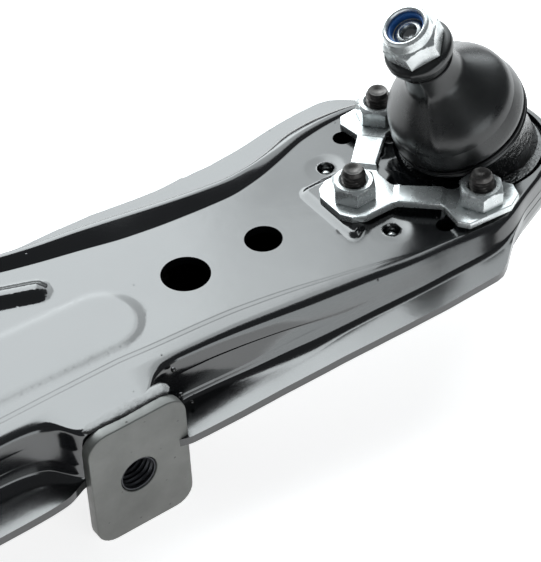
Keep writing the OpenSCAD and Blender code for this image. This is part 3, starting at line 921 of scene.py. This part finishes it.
@dataclass
class BallJoint:
    """Bolted ball joint: cast housing, ball stud, boot with two wire clips, and a locking nut."""

    cup_r: float = 19.0
    neck_r: float = 19.7
    thread_r: float = 5.0
    nut_flats: float = 17.0
    nut_base: float = 51.2
    boot_low: tuple = (
        (22.0, 9.0), (22.3, 9.6), (22.0, 10.2), (21.3, 10.7), (21.3, 12.1), (22.0, 12.6), (22.4, 13.6),
        (22.3, 15.0), (21.9, 16.6), (21.4, 18.4), (21.1, 19.4),
    )
    boot_high: tuple = (
        (21.1, 19.4), (20.9, 21.0), (20.5, 22.6), (19.8, 24.0), (18.8, 25.4), (17.4, 27.0), (15.6, 28.9),
        (13.8, 30.8), (12.1, 32.6), (10.6, 34.2), (9.7, 35.4), (9.3, 36.8), (8.8, 39.6), (8.5, 42.4),
        (8.5, 45.0), (8.9, 46.0), (9.9, 46.9), (10.8, 47.6), (11.1, 48.4), (11.1, 50.0), (10.8, 50.6),
        (10.2, 50.9),
    )
    boot_inner: tuple = (
        (7.0, 50.9), (7.0, 39.0), (7.4, 36.2), (8.4, 34.2), (10.4, 31.8), (13.8, 28.2), (16.8, 24.8),
        (18.2, 22.4), (19.2, 19.4),
    )

    def stud(self) -> None:
        """Turned stud with its ball, taper and rolled thread."""
        ball = 12.5
        turns = [math.radians(a) for a in range(0, 151, 6)]
        arc = [(ball * math.sin(t), -ball * math.cos(t)) for t in turns]
        profile = arc + [(5.8, 11.6), (5.8, 16.6), (6.4, 17.2), (7.2, 18.0), (6.2, 45.6), (5.6, 46.0)]
        profile += [(5.0, z) for z in rows(46.4, 58.0, 0.25)] + [(4.5, 58.6), (3.8, 58.9), (3.0, 59.0)]
        profile += [(2.6, 58.4), (2.3, 57.0), (1.2, 56.2), (0.0, 56.0)]
        bm = lathe(profile, 60)
        cut_thread(bm, 5.0, 0.62, 1.25, 46.6, 58.1)
        deliver("ball_stud_turned", bm, TURNED_STEEL, "stud", "ball_stud", AT_BALL)

    def nut(self) -> None:
        """Hexagon locking nut with its crown and blue nylon ring."""
        base, flats = self.nut_base, self.nut_flats
        body = hexagon(flats, base, base + 7.2, 1.3, self.thread_r)
        top = base + 11.0
        crown = [
            (7.9, base + 6.6), (8.1, base + 7.4), (7.9, base + 8.4), (7.85, top - 1.6), (7.7, top - 0.7),
            (7.2, top - 0.15), (6.7, top), (6.2, top - 0.2), (5.95, top - 0.7), (6.0, top - 1.3),
            (6.4, top - 1.6), (6.4, base + 6.6),
        ]
        bm = join(body, lathe(crown, 72, closed=True))
        spun = Matrix.Rotation(math.radians(11), 4, "Z")
        deliver("stud_lock_nut", bm, ZINC, "stud", "stud_nut", AT_BALL @ spun, 24)
        bm = ring(6.4, 5.2, base + 6.8, top - 1.6, 0.35)
        deliver("nylon_ring", bm, NYLON, "stud", "nut_insert", AT_BALL)

    def boot(self) -> None:
        """Moulded boot in two halves that meet on a ring."""
        mid, gap = self.boot_high[0][1], 0.4
        low = [*self.boot_low, (19.3, mid), (20.0, 15.6), (20.0, 9.2)]
        skirt = lathe(low, 96, closed=True)
        bell = lathe([*self.boot_high, *self.boot_inner], 96, closed=True)
        self.mould_line(bell)
        for name, bm, bodies, start, end in (
            ("boot_skirt", skirt, ("arm", "boot_carrier"), 12.8, mid - gap),
            ("boot_bell", bell, ("boot_carrier", "boot_neck"), mid + gap, 34.4),
        ):
            piece = settle(name, bm, BOOT_RUBBER, AT_BALL, smooth=50)
            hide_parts("boot")
            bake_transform(piece)
            LOG.info("%s bends between %s and %s", name, *bodies)

    def mould_line(self, bm: BMesh) -> None:
        """Raises the fine parting line that the mould leaves down two sides of the boot.

        Args:
            bm: The boot's upper half, round Z.
        """
        for vert in bm.verts:
            spread = math.hypot(vert.co.x, vert.co.y)
            angle = math.atan2(vert.co.y, vert.co.x)
            off = min(abs(angle + math.radians(142.5)), abs(angle - math.radians(37.5)))
            if spread > 8.0 and off < 0.02:
                set_radius(vert, spread + 0.28)

    def clips(self) -> None:
        """Two wire rings that hold the boot."""
        def hoop(radius: float, wire: float, height: float) -> BMesh:
            """A wire ring round Z."""
            section = [
                (radius + wire * math.cos(k * TURN / 10), height + wire * math.sin(k * TURN / 10))
                for k in range(10)
            ]
            return lathe(section, 96, closed=True)

        low, high = hoop(21.85, 0.6, 11.4), hoop(8.55, 0.45, 43.2)
        deliver("lower_wire_clip", low, WIRE, "arm", "boot_lower_clip", AT_BALL)
        deliver("neck_wire_clip", high, WIRE, "boot_neck", "boot_neck_clip", AT_BALL)

    def housing(self) -> None:
        """Cast housing: leaning cup and neck, upright skirt and three ears round the bolts."""
        c = self.cup_r
        cup = [
            (13.5, -18.5), (c - 2.4, -18.5), (c - 0.8, -17.9), (c, -16.4), (c, 4.0), (self.neck_r, 6.0),
            (self.neck_r, 11.4), (self.neck_r - 0.6, 12.0), (17.5, 12.0), (11.2, 6.2), (15.5, 6.2),
            (15.5, -16.9), (13.5, -16.9),
        ]
        parts = [moved(lathe(cup, 96, closed=True), AT_BALL)]
        skirt = [
            (19.4, 6.0), (23.6, 6.0), (24.3, 6.8), (24.4, 12.0), (24.3, 15.6), (23.4, 17.4), (19.4, 17.4),
        ]
        parts.append(moved(lathe(skirt, 96, closed=True), at(340, 0)))
        for x, y in BOLTS:
            parts.append(moved(ring(6.2, 4.1, 5.6, 14.9, 0.6, 48), at(x, y)))
        web = [(292.7, -6.1), (321.5, -31.6), (340, -20), (340, 20), (321.5, 31.6), (292.7, 6.1)]
        parts.append(plate(web, [], 5.8, 14.6, 0.6))
        bm = join(*parts)
        boot_seat = 12.0
        for vert in bm.verts:
            local = AT_BALL.inverted() @ vert.co
            if local.z > boot_seat:
                local.z = boot_seat
                vert.co = AT_BALL @ local
        deliver("cast_housing", bm, CASTING, "arm", "joint_housing", smooth=35)

    def build(self) -> None:
        """Builds every piece of the joint."""
        self.housing()
        self.stud()
        self.nut()
        self.boot()
        self.clips()
        for node, finish in (("ball_seat", ACETAL), ("housing_cap", TUBE_STEEL)):
            dress_node(node, finish)


def dress_node(node: str, finish: Finish) -> None:
    """Gives a CAD node that keeps its own shape its finish.

    Args:
        node: The CAD node.
        finish: Its surface finish.
    """
    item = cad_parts[node]
    item.data.materials.clear()
    item.data.materials.append(finish.build())
    LOG.info("%s keeps its CAD shape", node)


# ---------------------------------------------------------------- lock plate and fasteners


@dataclass
class LockPlate:
    """Zinc lock plate under three nuts, with the three bolts that come up through the head."""

    low: float = TOP + PAD
    thick: float = 2.6
    nut_flats: float = 13.0

    def outline(self) -> list[tuple[float, float]]:
        """Outline of the plate: three chamfered lobes joined by two narrower arms.

        Returns:
            Corner points in order.
        """
        near = [
            (283.3, -5.2), (285.4, -8.9), (289.3, -11.0), (299.5, -11.2), (311.2, -22.4), (310.2, -30.6),
            (312.6, -33.9), (328.4, -35.0), (333.6, -32.2), (335.2, -27.4), (332.4, -22.6), (326.0, -19.4),
            (318.8, -17.4), (306.9, -7.0), (305.0, -3.0),
        ]
        return near + [(x, -y) for x, y in reversed(near)]

    def bend_arms(self, bm: BMesh) -> None:
        """Lifts the two arms a little over the lobes, between two bends each.

        Args:
            bm: The flat plate.
        """
        base = Vector((*BOLTS[0], 0))
        for x, y in BOLTS[1:]:
            way = (Vector((x, y, 0)) - base).normalized()
            length = (Vector((x, y, 0)) - base).length
            stops = (12.4, 14.2, length - 12.4, length - 10.8)
            for stop in stops:
                geom, spot = [*bm.verts, *bm.edges, *bm.faces], base + way * stop
                bmesh.ops.bisect_plane(bm, geom=geom, dist=1e-4, plane_co=spot, plane_no=way)
            for vert in bm.verts:
                reach = (vert.co - base).dot(way)
                across = abs(way.x * (vert.co.y - base.y) - way.y * (vert.co.x - base.x))
                if stops[1] - 0.01 < reach < stops[2] + 0.01 and across < 8.0 and y * vert.co.y > 0:
                    vert.co.z += 0.9

    def build(self) -> None:
        """Builds the plate, nuts and bolts."""
        bm = plate(self.outline(), [(x, y, 4.4) for x, y in BOLTS], self.low, self.low + self.thick, 0.5, 3)
        self.bend_arms(bm)
        deliver("zinc_lock_plate", bm, ZINC, "arm", "lock_plate", smooth=20)
        seat = self.low + self.thick
        nuts, bolts = [], []
        for (x, y), turn in zip(BOLTS, (32, -19, 27)):
            place = at(x, y) @ Matrix.Rotation(math.radians(turn), 4, "Z")
            body = hexagon(self.nut_flats, seat, seat + 6.0, 1.1, 4.02)
            nuts.append(moved(body, place))
            shank = [(0.0, -2.4), (5.8, -2.4), (6.4, -2.0)]
            shank += [(7.4, -1.6), (7.4, 1.9), (6.6, 2.4), (4.0, 2.5), (4.0, 16.0)]
            shank += [(4.0, z) for z in rows(16.2, 30.2, 0.2)]
            shank += [(3.5, 30.5), (3.3, 31.6), (3.0, 32.0), (2.3, 31.9), (1.6, 31.4), (0.0, 31.1)]
            bolt = lathe(shank, 56)
            cut_thread(bolt, 4.0, 0.75, 1.25, 16.1, 30.4)
            press_flats(bolt, self.nut_flats, below=2.45)
            bolts.append(moved(bolt, place))
        deliver("zinc_flange_nuts", join(*nuts), ZINC, "arm", "lock_nuts", smooth=24)
        deliver(
            "phosphated_bolts", join(*bolts), PHOSPHATE, "arm", "lock_bolts", smooth=30
        )


# ---------------------------------------------------------------- link bracket


@dataclass
class LinkBracket:
    """Bracket plate welded on the bridge, with its weld nut and bead."""

    middle: float = 185.6
    width: float = 34.2
    low: float = -27.3
    high: float = 17.0
    corner: float = 6.5
    front: float = -37.0
    thick: float = 4.0
    hole_x: float = 184.7
    hole_z: float = -5.5
    nut_flats: float = 18.0

    def upright(self) -> Matrix:
        """Turns a flat drawing of (x, z) into the plate's upright plane."""
        return Matrix.Translation((0, self.front + self.thick, 0)) @ Matrix.Rotation(math.pi / 2, 4, "X")

    def build(self) -> None:
        """Builds the plate, the tapped nut and the weld."""
        x0, x1 = self.middle - self.width / 2, self.middle + self.width / 2
        c = self.corner
        outline = []
        top, bottom = self.high - c, self.low + c
        middles = ((x1 - c, top), (x0 + c, top), (x0 + c, bottom), (x1 - c, bottom))
        for quarter, (cx, cz) in enumerate(middles):
            turns = [math.radians(quarter * 90 + k * 15) for k in range(7)]
            outline += [(cx + c * math.cos(t), cz + c * math.sin(t)) for t in turns]
        bm = plate(outline, [(self.hole_x, self.hole_z, 6.3)], 0.0, self.thick, 0.45, 3)
        place = self.upright()
        deliver("link_plate", bm, BRACKET_COAT, "arm", "link_bracket", place, 35)
        self.tapped_nut()
        self.bead()

    def tapped_nut(self) -> None:
        """Weld nut behind the plate, with its inner thread."""
        depth, minor_radius = 14.4, 5.6
        bore = [(minor_radius, z) for z in rows(0.6, depth, 0.3)]
        body = [(9.0, depth), (10.3, depth - 0.8), (10.3, 4.1), (6.25, 4.05), (6.2, 0.9), (5.9, 0.5)]
        bm = lathe(bore + body, 60, closed=True)
        cut_thread(bm, minor_radius, -0.62, 1.75, 0.5, depth)
        press_flats(bm, self.nut_flats)
        place = at(self.hole_x, self.front, self.hole_z) @ ALONG_Y
        deliver("tapped_weld_nut", bm, TUBE_STEEL, "arm", "bracket_nut", place, 35)

    def bead(self) -> None:
        """Rippled bead along the plate's top edge, with a few drops of spatter."""
        x0, x1 = self.middle - 15.2, self.middle + 15.2
        back, top = self.front + self.thick + 2.3, self.high - 0.1
        bm = weld_rope([(x, back, top) for x in rows(x0, x1, 1.0)], 1.5)
        bmesh.ops.scale(bm, verts=bm.verts, vec=(1, 1.9, 0.42), space=at(0, -back, -top))
        deliver("bridge_bead", bm, WELD_COAT, "arm", "bracket_weld")
        # Two bright zinc balls in the dimple holes: painted light that stands in for the floor seen through
        # them.
        self.spheres_at(THROUGH_HOLE_LIGHT_SPOTS, "locating_tips", ZINC, 3)
        rng = random.Random(5)
        drops = tuple((x, y, z, r * rng.uniform(0.8, 1.0)) for x, y, z, r in SPATTER)
        self.spheres_at(drops, "weld_spatter", WELD_COAT, 2)

    def spheres_at(
        self, spots: tuple[tuple[float, float, float, float], ...], name: str, finish: Finish,
        detail: int,
    ) -> None:
        """Makes one piece of small balls.

        Args:
            spots: Middle (x, y, z) and radius of each ball.
            name: The piece's name.
            finish: The surface finish.
            detail: Subdivisions of each ball.
        """
        bm = bmesh.new()
        for x, y, z, radius in spots:
            bmesh.ops.create_icosphere(bm, subdivisions=detail, radius=radius, matrix=at(x, y, z))
        deliver(name, bm, finish, "arm")


def weld_rope(path: list, radius: float) -> BMesh:
    """A rippled weld bead along a path.

    Args:
        path: Points along the bead.
        radius: Mean radius of the bead.

    Returns:
        The closed bead, with a ripple every few millimetres.
    """
    points = [Vector(p) for p in path]
    bm = bmesh.new()
    loop = None
    last = len(points) - 1
    for i, p in enumerate(points):
        ahead = (points[min(i + 1, last)] - points[max(i - 1, 0)]).normalized()
        turn = ahead.to_track_quat("Z", "Y").to_matrix().to_4x4()
        wave = 1 + 0.02 * math.sin(i * 2.4) + 0.2 * noise.noise(p * 0.12)
        end = 0.45 if i in (0, last) else 0.85 if i in (1, last - 1) else 1.0
        edges = circle(bm, radius * wave * end, 14, at(*p) @ turn)
        if loop:
            bmesh.ops.bridge_loops(bm, edges=loop + edges)
        loop = edges
    bmesh.ops.holes_fill(bm, edges=[e for e in bm.edges if e.is_boundary], sides=0)
    bmesh.ops.recalc_face_normals(bm, faces=bm.faces)
    return bm


# ---------------------------------------------------------------- bushes


@dataclass
class Bush:
    """Rubber bush in its eye: outer sleeve, rubber and inner sleeve, about one axis."""

    label: str
    place: Matrix
    eye: tuple[float, float, float]
    outer: tuple[float, float, float]
    rubber: tuple[float, float, float]
    sleeve: tuple[float, float, float]
    eye_node: str
    voids: bool = False

    def build(self) -> None:
        """Builds the eye, its two sleeves and the rubber."""
        name = self.label
        bush = f"{name}_bush"
        for piece, (r_out, r_in, length), finish, body, slot, node in (
            ("eye", self.eye, ELECTROCOAT, "arm", f"{name}_eye_coat", self.eye_node),
            ("outer_sleeve", self.outer, TUBE_STEEL, "arm", f"{name}_outer_steel", f"{bush}_outer_sleeve"),
            ("inner_sleeve", self.sleeve, TURNED_STEEL, f"{name}_inner_sleeve", f"{name}_inner_steel",
             f"{bush}_inner_sleeve"),
        ):
            bm = ring(r_out, r_in, -length / 2, length / 2, 0.8, 96)
            deliver(f"{name}_{piece}", bm, finish, body, node, self.place, 30)
        self.build_rubber()

    def build_rubber(self) -> None:
        """The rubber, dished at both faces, with kidney slots in the larger bush."""
        r_out, r_in, length = self.rubber
        if self.voids:
            dress_node(f"{self.label}_bush_rubber", BUSH_RUBBER)
            return
        half = length / 2
        wide = r_out - r_in
        face = [(0.0, 0.0), (0.08, -0.2), (0.25, -1.6), (0.5, -2.3), (0.75, -1.6), (0.92, -0.2), (1.0, 0.0)]
        top = [(r_in + wide * t, half + d) for t, d in face]
        section = top + [(r, -z) for r, z in reversed(top)]
        bm = lathe(section, 96, closed=True)
        name = f"{self.label}_rubber"
        deliver(name, bm, BUSH_RUBBER, "arm", f"{self.label}_bush_rubber", self.place)


# ---------------------------------------------------------------- studio


@dataclass
class Studio:
    """Pale floor, softboxes that the black skin mirrors, and the camera."""

    floor_z: float = -0.0275
    eye: tuple = (-0.0521, -0.4729, 0.5252)
    right: tuple = (0.8126, -0.5813, -0.0418)
    up: tuple = (0.4197, 0.5340, 0.7340)
    lens: float = 156.2
    panels: tuple = (
        ("left_back_panel", (0.73, -0.05), (1.36, 1.6), 5.2),
        ("upper_back_panel", (-0.015, 0.36), (0.13, 0.78), 4.3),
        ("lower_back_panel", (-0.015, -0.44), (0.13, 0.82), 2.9),
        ("right_back_panel", (-0.64, -0.05), (1.12, 1.6), 2.6),
    )

    def softbox(
        self, name: str, aim: tuple, distance: float, shift: tuple[float, float], size: tuple[float, float],
        radiance: float,
    ) -> None:
        """A rectangular softbox that faces the arm's middle.

        Args:
            name: The light's name.
            aim: Direction from the arm to the softbox's plane.
            distance: Distance in metres.
            shift: Sideways and upward shift in that plane, in metres.
            size: Width and height in metres.
            radiance: Brightness of its face.
        """
        light = bpy.data.lights.new(name, "AREA")
        light.shape, light.size, light.size_y = "RECTANGLE", *size
        light.energy = radiance * math.pi * size[0] * size[1]
        light.color = (0.92, 0.98, 1.0)
        item = bpy.data.objects.new(name, light)
        way = Vector(aim).normalized()
        turn = way.to_track_quat("Z", "Y").to_matrix()
        item.matrix_world = Matrix.Translation(
            Vector((0.26, 0.0, 0.0)) + way * distance + turn @ Vector((*shift, 0.0))) @ turn.to_4x4()
        bpy.context.scene.collection.objects.link(item)

    def build(self) -> None:
        """Sets the floor, lights, world and camera."""
        scene = bpy.context.scene
        scene.view_settings.view_transform = "Standard"
        bm = bmesh.new()
        bmesh.ops.create_grid(bm, x_segments=4, y_segments=4, size=6.0, matrix=at(0, 0, self.floor_z))
        mesh = bpy.data.meshes.new("floor")
        bm.to_mesh(mesh)
        bm.free()
        floor = bpy.data.objects.new("floor", mesh)
        scene.collection.objects.link(floor)
        paper = bpy.data.materials.new("white_paper")
        paper.use_nodes = True
        shader = paper.node_tree.nodes["Principled BSDF"]
        for key, value in (
            ("Base Color", (0.86, 0.86, 0.86, 1)), ("Roughness", 0.8),
            ("Emission Color", (1, 1, 1, 1)), ("Emission Strength", 0.8),
        ):
            shader.inputs[key].default_value = value
        mesh.materials.append(paper)
        for name, shift, size, radiance in self.panels:
            self.softbox(name, (0.404, 0.614, 0.678), 1.6, shift, size, radiance)
        self.softbox("front_panel", (0.035, -0.97, 0.16), 1.7, (0.0, 0.0), (1.1, 0.9), 2.2)
        world = bpy.data.worlds.new("studio")
        scene.world = world
        world.use_nodes = True
        sky = world.node_tree.nodes["Background"].inputs
        sky["Color"].default_value = (0.9, 0.95, 1.0, 1)
        sky["Strength"].default_value = 0.12
        lens = bpy.data.cameras.new("camera")
        lens.lens, lens.sensor_width, lens.sensor_fit = self.lens, 36.0, "AUTO"
        lens.clip_start, lens.clip_end = 0.01, 20
        item = bpy.data.objects.new("camera", lens)
        right, up = Vector(self.right).normalized(), Vector(self.up).normalized()
        back = right.cross(up).normalized()
        up = back.cross(right)
        turn = Matrix((right, up, back)).transposed().to_4x4()
        item.matrix_world = Matrix.Translation(self.eye) @ turn
        scene.collection.objects.link(item)
        scene.camera = item


def main() -> None:
    """Builds the sub-assemblies in order."""
    logging.basicConfig(level=logging.INFO, format="%(message)s")
    for side, name, node, slot in (
        (Side.UPPER, "upper_pressing", "upper_shell", "shell_coat"),
        (Side.LOWER, "lower_pressing", "lower_shell", "lower_shell_coat"),
    ):
        hand_over(PressedShell(side).build(name), "arm", node)
    LinkBracket().build()
    LockPlate().build()
    BallJoint().build()
    Bush(
        "front", ALONG_Y, (22, 19, 42), (19, 17, 44), (17, 10.05, 42), (10, 6.1, 50), "front_eye_tube"
    ).build()
    Bush(
        "rear", at(35, 245), (36, 31.5, 38), (31.5, 29, 40), (29, 12.05, 38), (12, 7.1, 52),
        "rear_eye_collar", voids=True,
    ).build()
    dress_node("front_eye_welds", WELD_COAT)
    dress_node("rear_eye_welds", WELD_COAT)
    Studio().build()


if __name__ == "__main__":
    main()
